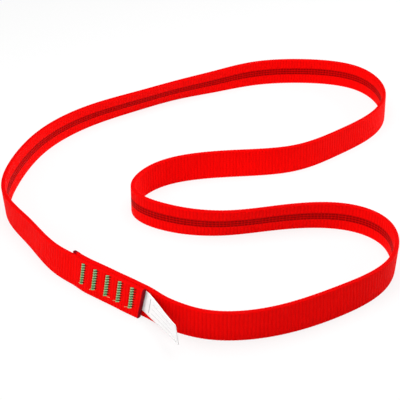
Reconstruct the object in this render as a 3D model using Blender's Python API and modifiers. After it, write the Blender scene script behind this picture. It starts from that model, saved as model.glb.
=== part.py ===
"""A sewn climbing sling: one strip of webbing, lapped and bar-tacked into a loop, with a sewn-in label.

The sling stands on the edge of its webbing, in the kidney shape that the loop falls into when it is set down.
Metres, +Z up. The origin is at the middle of the sling's footprint, on the surface that it stands on.
"""

import math

import bmesh
import bpy
import numpy as np
from mathutils import Matrix, Vector

MM = 0.001

# The sling and its webbing. The sling's length is that of the loop pulled flat.
SLING_LENGTH = 590 * MM
WEBBING_WIDTH = 20 * MM
WEBBING_THICKNESS = 2.4 * MM
WEBBING_EDGE_ROUND = 0.5 * MM
FLOOR_FLAT = 0.15 * MM

# The lap, where the strip's two ends lie on each other, and how far its outer end is cut askew
LAP_LENGTH = 55 * MM
LAP_START_SHARE = 0.014
CUT_SKEW = 2.8 * MM
LAP_EASE = 18 * MM
PLY_GAP = 0.3 * MM
CUT_END_RISE = 1.7 * MM
CUT_END_RISE_LENGTH = 6 * MM

# The five bar tacks and their thread
TACK_COUNT = 5
TACK_WIDTH = 2.9 * MM
TACK_LOW_MARGIN = 4.5 * MM
TACK_HIGH_MARGIN = 1.2 * MM
TACK_START_MARGIN = 9.6 * MM
TACK_END_MARGIN = 7.6 * MM
TACK_TILT_DEGREES = 3
TACK_CROSSINGS = 14
THREAD_RADIUS = 0.28 * MM
THREAD_CLEARANCE = 0.3 * MM
BOBBIN_LEG = 0.9 * MM

# The label, a folded ribbon whose ends are caught in the lap
LABEL_LENGTH = 37 * MM
LABEL_LOW_MARGIN = 4.7 * MM
LABEL_HIGH_MARGIN = 1.3 * MM
LABEL_THICKNESS = 0.4 * MM
LABEL_CLEARANCE = 0.3 * MM
LABEL_TAB_SPARE = 2.5 * MM
LABEL_TAB_REACH = 0.4 * MM
LABEL_BEND_LENGTH = 7 * MM
LABEL_SWING_DEGREES = 26
LABEL_TWIST_DEGREES = 13

# The loop's route on the surface: control points of a closed cubic B-spline, as shares of the sling's
# length from the middle of the loop. Each has the webbing's lean there in degrees, positive where its
# top leans outwards
ROUTE_SHARES = [
    (-0.195, -0.102, -4),
    (-0.167, -0.154, -7),
    (-0.122, -0.186, -14),
    (-0.057, -0.234, -10),
    (-0.007, -0.261, 2),
    (0.061, -0.256, -2),
    (0.127, -0.228, -11),
    (0.188, -0.185, 4),
    (0.199, -0.113, 0),
    (0.150, -0.077, -1),
    (0.078, -0.079, -8),
    (0.013, -0.095, -9),
    (-0.051, -0.085, 5),
    (-0.101, -0.049, 1),
    (-0.063, 0.015, 0),
    (0.021, 0.026, -7),
    (0.103, 0.027, -3),
    (0.158, 0.068, -1),
    (0.218, 0.114, -2),
    (0.239, 0.176, -2),
    (0.214, 0.242, 0),
    (0.147, 0.260, 4),
    (0.068, 0.258, 5),
    (0.013, 0.234, -9),
    (-0.041, 0.219, -20),
    (-0.096, 0.186, -19),
    (-0.157, 0.149, -12),
    (-0.207, 0.092, -5),
    (-0.228, 0.021, 5),
    (-0.237, -0.050, 2),
]
SAMPLES_PER_SPAN = 40
STATIONS_PER_SPAN = 6
TAB_STATIONS = 5
FLAP_STATIONS = 12

# Cutters run this far past what they cut
OVERRUN = 2 * MM

COLOURS = {
    "webbing_red": (0.80, 0.006, 0.008),
    "thread_green": (0.16, 0.45, 0.22),
    "label_white": (0.85, 0.85, 0.84),
}

# Sizes worked out from the ones above
LABEL_TAB_DEPTH = TACK_END_MARGIN + TACK_WIDTH / 2 + LABEL_TAB_SPARE
LABEL_GAP = LABEL_THICKNESS + 2 * LABEL_CLEARANCE
LABEL_EDGE_ROUND = LABEL_THICKNESS / 4
TACK_LENGTH = WEBBING_WIDTH - TACK_LOW_MARGIN - TACK_HIGH_MARGIN
TACK_HEIGHT = TACK_LOW_MARGIN + TACK_LENGTH / 2
LABEL_WIDTH = WEBBING_WIDTH - LABEL_LOW_MARGIN - LABEL_HIGH_MARGIN
LABEL_HEIGHT = LABEL_LOW_MARGIN + LABEL_WIDTH / 2
TACK_PITCH = (LAP_LENGTH - TACK_START_MARGIN - TACK_END_MARGIN) / (TACK_COUNT - 1)
CROSSING_PITCH = TACK_LENGTH / (TACK_CROSSINGS - 1)


def clear_scene():
    for thing in list(bpy.data.objects):
        bpy.data.objects.remove(thing, do_unlink=True)


def make_collection(name):
    collection = bpy.data.collections.new(name)
    bpy.context.scene.collection.children.link(collection)
    return collection


def make_material(name, roughness):
    material = bpy.data.materials.new(name)
    material.use_nodes = True
    shader = material.node_tree.nodes["Principled BSDF"]
    shader.inputs["Base Color"].default_value = (*COLOURS[name], 1)
    shader.inputs["Roughness"].default_value = roughness
    shader.inputs["Metallic"].default_value = 0
    return material


def smooth_step(share):
    share = np.clip(share, 0, 1)
    return share * share * (3 - 2 * share)


class Route:
    """The closed line that the webbing follows, measured along its length."""

    def __init__(self):
        rows = np.array(ROUTE_SHARES)
        self.controls = rows * (SLING_LENGTH, SLING_LENGTH, math.radians(1))
        self.spans = np.linspace(0, len(rows), len(rows) * SAMPLES_PER_SPAN + 1)
        points = self.on_span(self.spans)[0][:, :2]
        steps = np.linalg.norm(np.diff(points, axis=0), axis=1)
        self.lengths = np.concatenate([[0], np.cumsum(steps)])
        self.ring = self.lengths[-1]

    def on_span(self, span):
        """Place with lean, and direction, at a number of spans along the spline."""
        first = np.floor(span).astype(int)
        t = (span - first)[:, None]
        count = len(self.controls)
        a, b, c, d = (self.controls[(first + step) % count] for step in range(4))
        rise = 1 + 3 * t + 3 * t**2 - 3 * t**3
        crest = 4 - 6 * t**2 + 3 * t**3
        place = ((1 - t) ** 3 * a + crest * b + rise * c + t**3 * d) / 6
        slope = (3 * t**2 - 4 * t) * b + (1 + 2 * t - 3 * t**2) * c + t**2 * d - (1 - t) ** 2 * a
        return place, slope

    def at(self, distance):
        """Points on the surface, directions, outward normals and leans at these distances along the ring."""
        span = np.interp(np.atleast_1d(distance) % self.ring, self.lengths, self.spans)
        place, slope = self.on_span(span)
        along = slope[:, :2] / np.linalg.norm(slope[:, :2], axis=1, keepdims=True)
        out = np.stack([along[:, 1], -along[:, 0]], axis=1)
        return place[:, :2], along, out, place[:, 2]


class Frame:
    """The webbing's own directions at one place: along it, up its width and out of its outer face."""

    def __init__(self, route, distance):
        place, along, out, lean = (row[0] for row in route.at(distance))
        self.along = Vector((*along, 0))
        self.up = Vector((*(out * math.sin(lean)), math.cos(lean)))
        self.out = self.along.cross(self.up)
        self.foot = Vector((*place, 0))

    def matrix(self, height, offset):
        """A frame whose axes are the three directions, at this height up the width and this far outwards."""
        turn = Matrix((self.along, self.up, self.out)).transposed().to_4x4()
        return Matrix.Translation(self.foot + self.up * height + self.out * offset) @ turn


def lap_gap(distance):
    """The gap between the plies, which opens towards the mouth where the label goes in."""
    opening = (distance - LAP_LENGTH + LABEL_TAB_DEPTH + TACK_PITCH) / TACK_PITCH
    return PLY_GAP + (LABEL_GAP - PLY_GAP) * smooth_step(opening)


def strip_offset(distance, strip_length):
    """How far the strip's middle layer lies outside the route, at these distances from its inner cut end."""
    inner = (WEBBING_THICKNESS + lap_gap(distance)) / 2
    outer_at = distance - (strip_length - LAP_LENGTH)
    outer = (WEBBING_THICKNESS + lap_gap(outer_at)) / 2
    leaves = smooth_step((distance - LAP_LENGTH) / LAP_EASE)
    arrives = smooth_step((outer_at + LAP_EASE) / LAP_EASE)
    return outer * arrives - inner * (1 - leaves)


def ribbon_mesh(name, lows, highs):
    """A grid one face high, deformed so that its columns run from the low points to the high ones."""
    shape = bmesh.new()
    bmesh.ops.create_grid(shape, x_segments=len(lows) - 1, y_segments=1, size=1)
    verts = sorted(shape.verts, key=lambda vert: (round(vert.co.x, 5), vert.co.y))
    for low_vert, high_vert, low, high in zip(verts[::2], verts[1::2], lows, highs):
        low_vert.co = low
        high_vert.co = high
    mesh = bpy.data.meshes.new(name)
    shape.to_mesh(mesh)
    shape.free()
    return mesh


def standing_points(feet, outs, leans, height):
    """The points this far up the leaning width above each foot."""
    sideways = outs * np.sin(leans)[:, None]
    ups = np.concatenate([sideways, np.cos(leans)[:, None]], axis=1)
    grounded = np.concatenate([feet, np.zeros((len(feet), 1))], axis=1)
    return grounded + ups * np.broadcast_to(height, len(feet))[:, None]


def add_object(name, data, collection, material=None):
    thing = bpy.data.objects.new(name, data)
    collection.objects.link(thing)
    if material:
        data.materials.append(material)
    return thing


def thicken(thing, thickness, edge_round):
    """Gives a ribbon its thickness, half to each side, and breaks its long edges and ends."""
    shell = thing.modifiers.new("thickness", "SOLIDIFY")
    shell.thickness = thickness
    shell.offset = 0
    rounding = thing.modifiers.new("edges", "BEVEL")
    rounding.width = edge_round
    rounding.segments = 1
    rounding.limit_method = "ANGLE"
    rounding.angle_limit = math.radians(60)


def cut(thing, name, cutter):
    boolean = thing.modifiers.new(name, "BOOLEAN")
    boolean.operation = "DIFFERENCE"
    boolean.object = cutter


def hide_cutter(cutter):
    cutter.hide_render = True
    cutter.display_type = "WIRE"


def skew_at(height):
    """How much further than at mid-width the outer cut end reaches, at this height up the width."""
    return CUT_SKEW * (height / WEBBING_WIDTH - 0.5)


def strip_points(route, distance, height):
    """Points in the strip's middle layer this far up its width, at these distances from its inner cut end."""
    feet, _, outs, leans = route.at(LAP_START_SHARE * route.ring + distance)
    aside = strip_offset(distance, route.ring + LAP_LENGTH) / np.cos(leans)
    rise = CUT_END_RISE * (1 - smooth_step(distance / CUT_END_RISE_LENGTH))
    dip = (WEBBING_THICKNESS / 2 - WEBBING_EDGE_ROUND) * np.abs(np.sin(leans)) - FLOOR_FLAT
    return standing_points(feet + outs * aside[:, None], outs, leans, dip + rise + height)


def make_webbing(route, collection, material):
    """The strip, from its inner cut end once round the loop to its outer cut end, which is askew."""
    strip_length = route.ring + LAP_LENGTH
    count = int(len(ROUTE_SHARES) * STATIONS_PER_SPAN * strip_length / route.ring)
    distance = np.linspace(0, strip_length, count)
    edges = []
    for height in (0, WEBBING_WIDTH):
        distance[-1] = strip_length + skew_at(height)
        edges.append(strip_points(route, distance, height))
    mesh = ribbon_mesh("webbing", *edges)
    webbing = add_object("webbing", mesh, collection, material)
    thicken(webbing, WEBBING_THICKNESS, WEBBING_EDGE_ROUND)
    return webbing


def cut_floor_flat(webbing, cutters):
    """Takes off what reaches below the surface, so that the strip's lower edge has a flat to stand on."""
    side = 2 * SLING_LENGTH
    shape = bmesh.new()
    bmesh.ops.create_cube(shape, size=1, matrix=Matrix.Diagonal((side, side, WEBBING_WIDTH, 1)))
    mesh = bpy.data.meshes.new("floor_cutter")
    shape.to_mesh(mesh)
    shape.free()
    cutter = add_object("floor_cutter", mesh, cutters)
    cutter.location.z = -WEBBING_WIDTH / 2
    hide_cutter(cutter)
    cut(webbing, "floor flat", cutter)


def tack_places():
    """Distances from the inner cut end to the middles of the bar tacks."""
    return [TACK_START_MARGIN + TACK_PITCH * index for index in range(TACK_COUNT)]


def crossing_path():
    """The thread's way over one bar tack: straight crossings joined by half turns at alternate sides."""
    turn = CROSSING_PITCH / 2
    reach = TACK_WIDTH / 2 - turn
    points = [Vector((-reach, -TACK_LENGTH / 2, 0))]
    for crossing in range(TACK_CROSSINGS - 1):
        side = 1 if crossing % 2 == 0 else -1
        middle = -TACK_LENGTH / 2 + (crossing + 0.5) * CROSSING_PITCH
        for step in range(4):
            angle = math.radians(-90 + 60 * step)
            across = side * (reach + turn * math.cos(angle))
            points.append(Vector((across, middle + turn * math.sin(angle), 0)))
    side = 1 if TACK_CROSSINGS % 2 == 1 else -1
    points.append(Vector((side * reach, TACK_LENGTH / 2, 0)))
    return points


def with_legs(points, leg):
    """Adds the leg at each end of the thread, which turns down through the webbing along -Z."""
    first, last = points[0], points[-1]
    ends = []
    for end, beside in ((first, points[1]), (last, points[-2])):
        inward = math.copysign(THREAD_RADIUS, beside.x - end.x)
        shoulder = Vector((end.x + inward, end.y, 0))
        knee = Vector((end.x, end.y, -THREAD_RADIUS))
        foot = Vector((end.x, end.y, -leg))
        ends.append((foot, knee, shoulder))
    return [*ends[0], *points[1:-1], *reversed(ends[1])]


def make_thread(name, points, matrix, collection, material):
    curve = bpy.data.curves.new(name, "CURVE")
    curve.dimensions = "3D"
    curve.twist_mode = "MINIMUM"
    curve.bevel_depth = THREAD_RADIUS
    curve.bevel_resolution = 1
    curve.use_fill_caps = True
    spline = curve.splines.new("POLY")
    spline.points.add(len(points) - 1)
    for point, place in zip(spline.points, points):
        point.co = (*place, 1)
    thread = add_object(name, curve, collection, material)
    thread.matrix_world = matrix
    return thread


def make_tacks(route, collection, cutters, material):
    """For each bar tack a needle thread on the outer ply, a bobbin thread on the inner, and their holes."""
    start = LAP_START_SHARE * route.ring
    path = crossing_path()
    holes = bmesh.new()
    tilt = Matrix.Rotation(-math.radians(TACK_TILT_DEGREES), 4, "Z")
    half_turn = Matrix.Rotation(math.pi, 4, "Y")
    mirrored = [Vector((-point.x, point.y, 0)) for point in path]
    for number, distance in enumerate(tack_places(), 1):
        stack = lap_gap(distance) + 2 * WEBBING_THICKNESS
        surface = stack / 2 + THREAD_CLEARANCE + THREAD_RADIUS
        frame = Frame(route, start + distance)
        needle_points = with_legs(path, 2 * surface - BOBBIN_LEG - THREAD_CLEARANCE)
        bobbin_points = with_legs(mirrored, BOBBIN_LEG)
        outer = frame.matrix(TACK_HEIGHT, surface) @ tilt
        inner = frame.matrix(TACK_HEIGHT, -surface) @ tilt @ half_turn
        make_thread(f"needle_thread_{number}", needle_points, outer, collection, material)
        make_thread(f"bobbin_thread_{number}", bobbin_points, inner, collection, material)
        for end in (path[0], path[-1]):
            bmesh.ops.create_cone(
                holes,
                cap_ends=True,
                segments=8,
                radius1=THREAD_RADIUS + THREAD_CLEARANCE,
                radius2=THREAD_RADIUS + THREAD_CLEARANCE,
                depth=stack + 2 * OVERRUN,
                matrix=frame.matrix(TACK_HEIGHT, 0) @ tilt @ Matrix.Translation(end),
            )
    mesh = bpy.data.meshes.new("leg_holes")
    holes.to_mesh(mesh)
    holes.free()
    cutter = add_object("leg_holes", mesh, cutters)
    hide_cutter(cutter)
    return cutter


def make_label_tab(route, collection, material):
    """The label's sewn-in end, flat between the plies, under the last bar tack."""
    mouth = LAP_START_SHARE * route.ring + LAP_LENGTH
    edges = []
    for height in (LABEL_LOW_MARGIN, LABEL_LOW_MARGIN + LABEL_WIDTH):
        tab_end = mouth + skew_at(height) + LABEL_TAB_REACH - LABEL_CLEARANCE
        distance = np.linspace(mouth - LABEL_TAB_DEPTH, tab_end, TAB_STATIONS)
        feet, _, outs, leans = route.at(distance)
        edges.append(standing_points(feet, outs, leans, height))
    mesh = ribbon_mesh("label_tab", *edges)
    tab = add_object("label_tab", mesh, collection, material)
    thicken(tab, LABEL_THICKNESS, LABEL_EDGE_ROUND)
    return tab


def make_label_flap(route, collection, material):
    """The label's free part. It swings on the line where it leaves the lap, which an empty marks."""
    root = LAP_START_SHARE * route.ring + LAP_LENGTH + skew_at(LABEL_HEIGHT) + LABEL_TAB_REACH
    hinge = bpy.data.objects.new("label_hinge", None)
    collection.objects.link(hinge)
    hinge.matrix_world = Frame(route, root).matrix(LABEL_HEIGHT, 0)
    reach = np.linspace(0, LABEL_LENGTH, FLAP_STATIONS)
    turned = math.radians(LABEL_SWING_DEGREES) * smooth_step(reach / LABEL_BEND_LENGTH + 0.5)
    twisted = math.radians(LABEL_TWIST_DEGREES) * smooth_step(reach / LABEL_LENGTH)
    headings = (turned[1:] + turned[:-1]) / 2
    along = np.concatenate([[0], np.cumsum(np.diff(reach) * np.cos(headings))])
    out = np.concatenate([[0], np.cumsum(np.diff(reach) * np.sin(headings))])
    edges = []
    for half in (-LABEL_WIDTH / 2, LABEL_WIDTH / 2):
        skew = (skew_at(LABEL_HEIGHT + half) - skew_at(LABEL_HEIGHT)) * (1 - reach / LABEL_LENGTH)
        across = along + skew - half * np.sin(turned) * np.sin(twisted)
        outwards = out + half * np.cos(turned) * np.sin(twisted)
        edges.append(np.stack([across, half * np.cos(twisted), outwards], axis=1))
    mesh = ribbon_mesh("label_flap", *edges)
    flap = add_object("label_flap", mesh, collection, material)
    thicken(flap, LABEL_THICKNESS, LABEL_EDGE_ROUND)
    flap.parent = hinge
    return flap, hinge


def stand_on_origin(parts, hinge):
    """Parents everything to one empty and moves that so the footprint's middle is at the origin."""
    bpy.context.view_layer.update()
    graph = bpy.context.evaluated_depsgraph_get()
    corners = []
    for thing in parts:
        ready = thing.evaluated_get(graph)
        corners += [ready.matrix_world @ Vector(corner) for corner in ready.bound_box]
    corners = np.array(corners)
    middle = (corners.min(axis=0) + corners.max(axis=0)) / 2
    sling = bpy.data.objects.new("sling", None)
    hinge.users_collection[0].objects.link(sling)
    for thing in list(bpy.data.objects):
        if thing is not sling and thing.parent is None:
            thing.parent = sling
    sling.location = (-middle[0], -middle[1], 0)
    bpy.context.view_layer.update()
    axis = hinge.matrix_world.to_3x3() @ Vector((-CUT_SKEW, -WEBBING_WIDTH, 0)).normalized()
    print("hinge at", [round(value, 6) for value in hinge.matrix_world.translation])
    print("hinge axis", [round(value, 6) for value in axis])
    print("footprint moved by", [round(value, 6) for value in sling.location])


def build():
    clear_scene()
    collection = make_collection("climbing_sling")
    cutters = make_collection("cutters")
    red = make_material("webbing_red", 0.6)
    green = make_material("thread_green", 0.5)
    white = make_material("label_white", 0.7)
    route = Route()
    webbing = make_webbing(route, collection, red)
    holes = make_tacks(route, collection, cutters, green)
    cut(webbing, "thread holes", holes)
    cut_floor_flat(webbing, cutters)
    tab = make_label_tab(route, collection, white)
    cut(tab, "thread holes", holes)
    flap, hinge = make_label_flap(route, collection, white)
    stand_on_origin([webbing, flap], hinge)
    print("ring", round(route.ring, 4), "strip", round(route.ring + LAP_LENGTH, 4))


build()
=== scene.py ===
# %% [markdown]
# # A sewn climbing sling
#
# A sewn sling is one strip of flat webbing, about 1.2 m long. Its two ends lie on each other and are
# closed into a loop by five bar tacks, and a folded ribbon is caught in the lap as its label. This lesson
# dresses the solids of such a sling for a picture. The solids are plain: a smooth strip, round threads
# and a flat label. What makes them look like cloth is made here, piece by piece.
#
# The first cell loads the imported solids, which stay where they are. Everything below is in metres, with Z
# up, apart from the patterns of the materials, which are laid out in millimetres.

# %% Load the solids
import math

import bpy
import numpy as np
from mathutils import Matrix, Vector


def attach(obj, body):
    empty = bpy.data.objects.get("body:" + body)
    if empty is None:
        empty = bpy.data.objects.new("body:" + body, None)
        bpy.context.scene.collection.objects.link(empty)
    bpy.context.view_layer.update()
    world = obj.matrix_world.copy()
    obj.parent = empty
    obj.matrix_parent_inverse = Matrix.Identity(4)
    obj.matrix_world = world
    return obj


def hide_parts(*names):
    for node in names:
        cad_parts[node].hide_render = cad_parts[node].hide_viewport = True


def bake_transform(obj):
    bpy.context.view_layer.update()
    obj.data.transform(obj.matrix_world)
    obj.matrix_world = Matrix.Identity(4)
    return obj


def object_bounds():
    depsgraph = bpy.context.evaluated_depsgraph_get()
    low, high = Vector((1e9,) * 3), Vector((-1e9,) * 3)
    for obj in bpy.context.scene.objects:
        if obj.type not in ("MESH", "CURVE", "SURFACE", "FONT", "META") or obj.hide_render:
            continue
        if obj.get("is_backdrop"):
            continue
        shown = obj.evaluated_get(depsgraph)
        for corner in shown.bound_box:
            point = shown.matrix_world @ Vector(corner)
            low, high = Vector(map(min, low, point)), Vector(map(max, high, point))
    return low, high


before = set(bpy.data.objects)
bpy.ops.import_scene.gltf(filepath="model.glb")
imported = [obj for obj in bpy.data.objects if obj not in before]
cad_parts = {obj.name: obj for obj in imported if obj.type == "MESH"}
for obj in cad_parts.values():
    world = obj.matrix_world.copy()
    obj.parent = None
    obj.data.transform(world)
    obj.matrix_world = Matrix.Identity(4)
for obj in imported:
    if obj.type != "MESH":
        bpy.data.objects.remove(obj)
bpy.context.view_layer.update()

MM = 0.001

# %% [markdown]
# ## The camera
#
# The photograph looks down at the sling by 35 degrees through a long lens. The camera was fitted to the
# edges of the webbing, whose width and line on the floor are known, so its place isn't a matter of taste.
# A long lens from further off keeps the far run of the loop nearly as wide as the near one. The camera
# comes first, because everything that follows is judged through it.

# %% Camera
camera_data = bpy.data.cameras.new("photo_camera")
camera_data.sensor_width = 36
camera_data.lens = 88.14168
camera = bpy.data.objects.new("photo_camera", camera_data)
camera.location = (-0.00561864, -0.55582455, 0.38315)
camera.rotation_euler = [math.radians(angle) for angle in (54.99620, 0.723681, -0.506772)]
bpy.context.scene.collection.objects.link(camera)
bpy.context.scene.camera = camera
print("camera", round(camera.location.length, 3), "m from the middle of the sling")

# %% [markdown]
# ## The loop's route
#
# A sling that is set down on the edge of its webbing falls into easy curves. They could be drawn as
# Bezier curves, but a cubic B-spline is easier: it never kinks, and a bend tightens only where its
# control points crowd together. Each row is a control point on the floor, with the webbing's lean there
# in degrees, positive where its top leans outwards. The points are those of the solid strip, so the cloth
# lies where the solid lies.
#
# A B-spline has its own parameter, which runs faster in some places than in others. Weaving needs true
# lengths, so the cell also measures the curve, and places on it are then found by their distance along
# it.

# %% The route, by distance
ROUTE = [
    (-0.11452, -0.05490, -4),
    (-0.09800, -0.08558, -7),
    (-0.07144, -0.10446, -14),
    (-0.03309, -0.13278, -10),
    (-0.00360, -0.14871, 2),
    (0.03652, -0.14576, -2),
    (0.07546, -0.12924, -11),
    (0.11145, -0.10387, 4),
    (0.11794, -0.06139, 0),
    (0.08903, -0.04015, -1),
    (0.04655, -0.04133, -8),
    (0.00820, -0.05077, -9),
    (-0.02955, -0.04487, 5),
    (-0.05906, -0.02363, 1),
    (-0.03664, 0.01413, 0),
    (0.01293, 0.02062, -7),
    (0.06130, 0.02121, -3),
    (0.09375, 0.04540, -1),
    (0.12915, 0.07254, -2),
    (0.14155, 0.10912, -2),
    (0.12679, 0.14806, 0),
    (0.08726, 0.15868, 4),
    (0.04066, 0.15750, 5),
    (0.00820, 0.14334, -9),
    (-0.02365, 0.13449, -20),
    (-0.05610, 0.11502, -19),
    (-0.09209, 0.09319, -12),
    (-0.12159, 0.05956, -5),
    (-0.13398, 0.01767, 5),
    (-0.13929, -0.02422, 2),
]
controls = np.array(ROUTE) * (1, 1, math.radians(1))


def on_spline(span):
    """Place with lean, and direction, at a number of spans along the closed spline."""
    first = np.floor(span).astype(int)
    t = (span - first)[:, None]
    a, b, c, d = (controls[(first + step) % len(controls)] for step in range(4))
    rise = 1 + 3 * t + 3 * t**2 - 3 * t**3
    crest = 4 - 6 * t**2 + 3 * t**3
    place = ((1 - t) ** 3 * a + crest * b + rise * c + t**3 * d) / 6
    slope = (3 * t**2 - 4 * t) * b + (1 + 2 * t - 3 * t**2) * c + t**2 * d - (1 - t) ** 2 * a
    return place, slope


SPAN_STEPS = 40
spans = np.linspace(0, len(controls), len(controls) * SPAN_STEPS + 1)
steps = np.linalg.norm(np.diff(on_spline(spans)[0][:, :2], axis=0), axis=1)
distances = np.concatenate([[0], np.cumsum(steps)])
RING = distances[-1]


def on_route(distance):
    """Places on the floor, directions, outward directions and leans at these distances round the loop."""
    place, slope = on_spline(np.interp(distance % RING, distances, spans))
    along = slope[:, :2] / np.linalg.norm(slope[:, :2], axis=1, keepdims=True)
    out = np.stack([along[:, 1], -along[:, 0]], axis=1)
    return place[:, :2], along, out, place[:, 2]


print("once round the loop:", round(RING, 4), "m")

# %% [markdown]
# ## The lap
#
# Where the strip's ends lie on each other, one ply stands half a thickness inside the route and the other
# half a thickness outside it. The lap starts otherwise: there the outer ply is still on the route, and
# the thinned end of the inner ply stands 0.85 of a thickness inside it. Over 14 mm both come to their
# places. Beyond the lap the inner ply eases back to the route. The gap between the plies opens towards
# the mouth, where the label goes in. The inner cut end stands a little higher than the rest, so a small
# nub of it shows above the outer ply.
#
# One function turns strap coordinates into places in the room: s along the strip from its inner cut end,
# h up its width, and n out from its middle layer. The webbing, the stitches and their holes are all laid
# out in these flat coordinates, as if the strip lay on a table, and the function bends them into the loop
# together.

# %% Strap coordinates
WIDTH = 20.35 * MM
THICKNESS = 2.75 * MM
LAP = 55 * MM
LAP_START = 0.014 * RING
STRIP = RING + LAP
TACK_PITCH = 9.45 * MM
LABEL_DEPTH = 11.55 * MM
PLY_GAP = 0.02 * MM
MOUTH_GAP = 0.40 * MM
LAP_RUN_IN = 14 * MM
LAP_RUN_OUT = 18 * MM
INNER_SET_BACK = 0.35 * THICKNESS
NUB_RISE = 0.6 * MM
NUB_LENGTH = 5 * MM
LEAN_LIFT = 0.75 * MM
FLOOR_PRESS = 0.03 * MM


def smooth_step(share):
    """0 up to 0, 1 from 1 on, and smooth between them."""
    share = np.clip(share, 0, 1)
    return share * share * (3 - 2 * share)


def lap_gap(distance):
    """The gap between the plies at a distance into the lap."""
    opening = (distance - LAP + LABEL_DEPTH + TACK_PITCH) / TACK_PITCH
    return PLY_GAP + MOUTH_GAP * smooth_step(opening)


def ply_offset(s):
    """How far the strip's middle layer lies outside the route."""
    inner = (THICKNESS + lap_gap(s)) / 2
    outer = (THICKNESS + lap_gap(s - RING)) / 2
    leaves = smooth_step((s - LAP) / LAP_RUN_OUT)
    climbs = smooth_step((s - RING) / LAP_RUN_IN)
    settles = smooth_step(s / LAP_RUN_IN)
    return outer * climbs - inner * (1 - leaves) - INNER_SET_BACK * (1 - settles)


def strap_points(s, h, n):
    """Places in the room of points in the strap, whose lower edge the floor presses flat."""
    s, h, n = (np.ravel(values).astype(float) for values in np.broadcast_arrays(s, h, n))
    place, _, out, lean = on_route(LAP_START + s)
    rise = NUB_RISE * (1 - smooth_step(s / NUB_LENGTH))
    lift = LEAN_LIFT * np.abs(np.sin(lean)) - FLOOR_PRESS
    up = h + rise + lift
    sideways = ply_offset(s) / np.cos(lean) + up * np.sin(lean) + n * np.cos(lean)
    height = up * np.cos(lean) - n * np.sin(lean)
    return np.column_stack([place + out * sideways[:, None], np.maximum(height, 0)])


print("strip:", round(STRIP, 4), "m, with a lap of", LAP, "m")

# %% [markdown]
# Five bar tacks stand side by side in the lap, each a little off square, with nine stitches that rise to
# the right. They pull the webbing's faces in where they hold it. The tacks are laid out before the
# webbing is made, because its faces, its holes and the threads all follow one layout.

# %% Layout of the bar tacks
TACKS = 5
TACK_START = 9.35 * MM
TACK_HEIGHT = 11.65 * MM
TACK_LENGTH = 14.8 * MM
TACK_TILT = math.tan(math.radians(3))
STITCHES = 9
STITCH_SPAN = 2.95 * MM
STITCH_SHIFT = 0.15 * MM
STITCH_RISE = 0.69
STITCH_PITCH = TACK_LENGTH / (STITCHES - 1 + STITCH_RISE)
PRESS_DEPTH = 0.38 * MM
PRESS_HALF_WIDTH = 1.0 * MM
PRESS_SIDE_FADE = 1.3 * MM
PRESS_INSET = 0.4 * MM
PRESS_END_FADE = 1.4 * MM


def tack_side(s, h):
    """How far a point lies beside the middle of the nearest bar tack, which leans a little."""
    lap_distance = np.where(s > RING, s - RING, s)
    number = np.clip(np.round((lap_distance - TACK_START) / TACK_PITCH), 0, TACKS - 1)
    return lap_distance - TACK_START - number * TACK_PITCH - (h - TACK_HEIGHT) * TACK_TILT


def tack_press(s, h):
    """How deep the bar tacks pull the webbing's face in."""
    across = 1 - smooth_step((np.abs(tack_side(s, h)) - PRESS_HALF_WIDTH) / PRESS_SIDE_FADE)
    past_end = np.abs(h - TACK_HEIGHT) - TACK_LENGTH / 2 + PRESS_INSET
    return PRESS_DEPTH * across * (1 - smooth_step(past_end / PRESS_END_FADE))


print(TACKS, "bar tacks of", STITCHES, "stitches,", round(STITCH_PITCH / MM, 2), "mm apart")

# %% [markdown]
# ## The webbing
#
# Flat webbing is woven from thick warp yarns that run along it and weft threads that cross it. Each weft
# thread lifts the yarns into a rib, so both faces are ribbed straight across, 2.3 mm apart, and smooth
# along their woven edges, the selvedges. A bump map alone gives ribs without a silhouette. Real geometry
# for each yarn would need millions of faces. So the ribs are in the mesh, five columns of vertices to a
# rib, and the yarns are in the material.
#
# The mesh is one section of 30 points, swept along the strip. Its edges are round, because the outermost
# yarns wrap round the weft. The bar tacks press both faces of the lap in, and the heat-cut ends are drawn
# in and capped. Every vertex keeps its strap coordinates as an attribute in millimetres, and the material
# is painted in them.

# %% Section of the webbing
EDGE = 0.55 * MM
half = THICKNESS / 2
edge_angles = (0, math.pi / 6, math.pi / 3)
edge_round = [(EDGE - EDGE * math.cos(a), half - EDGE + EDGE * math.sin(a)) for a in edge_angles]
face_heights = np.array([0.55, 1.3, 3.4, 6.7, 10.175, 13.65, 16.95, 19.05, 19.8]) * MM
outer_side = edge_round + [(h, half) for h in face_heights]
outer_side += [(WIDTH - h, n) for h, n in reversed(edge_round)]
section = np.array(outer_side + [(h, -n) for h, n in reversed(outer_side)])
section_steps = np.linalg.norm(np.roll(section, -1, axis=0) - section, axis=1)
print("section of", len(section), "points,", round(section_steps.sum() / MM, 1), "mm round")

# %% Cut ends
CUT_SKEW = 2.8 * MM
NUB_SKEW = 2.2 * MM
SKEW_RUN = 8 * MM
MELT_DISTANCES = np.array([0, 0.46, 0.92, 2.3]) * MM
MELT_SHARES = [0.66, 0.95, 1.03, 1]
MELT_NARROWING = 0.12
NUB_THINNING = 0.3
NUB_TAPER = 12 * MM


def end_skew(s, h):
    """How far the strip is sheared near its ends, which are both cut a little askew."""
    outer_end = CUT_SKEW * (h / WIDTH - 0.5) * smooth_step((s - STRIP + SKEW_RUN) / SKEW_RUN)
    inner_end = NUB_SKEW * h / WIDTH * (1 - smooth_step(s / SKEW_RUN))
    return outer_end - inner_end


print("cut askew by", CUT_SKEW, "m outside and", NUB_SKEW, "m inside")

# %% Ribbed strip
RIBS = 536
COLUMNS_PER_RIB = 5
RIB = STRIP / RIBS
RIB_RELIEF = 0.055 * MM
RIB_FADE = 3 * MM
SCALLOP_DEPTH = 0.05 * MM
FACE_SHARE = 0.98
FACE_START = 0.3 * MM
FACE_FADE = 0.9 * MM

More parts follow.
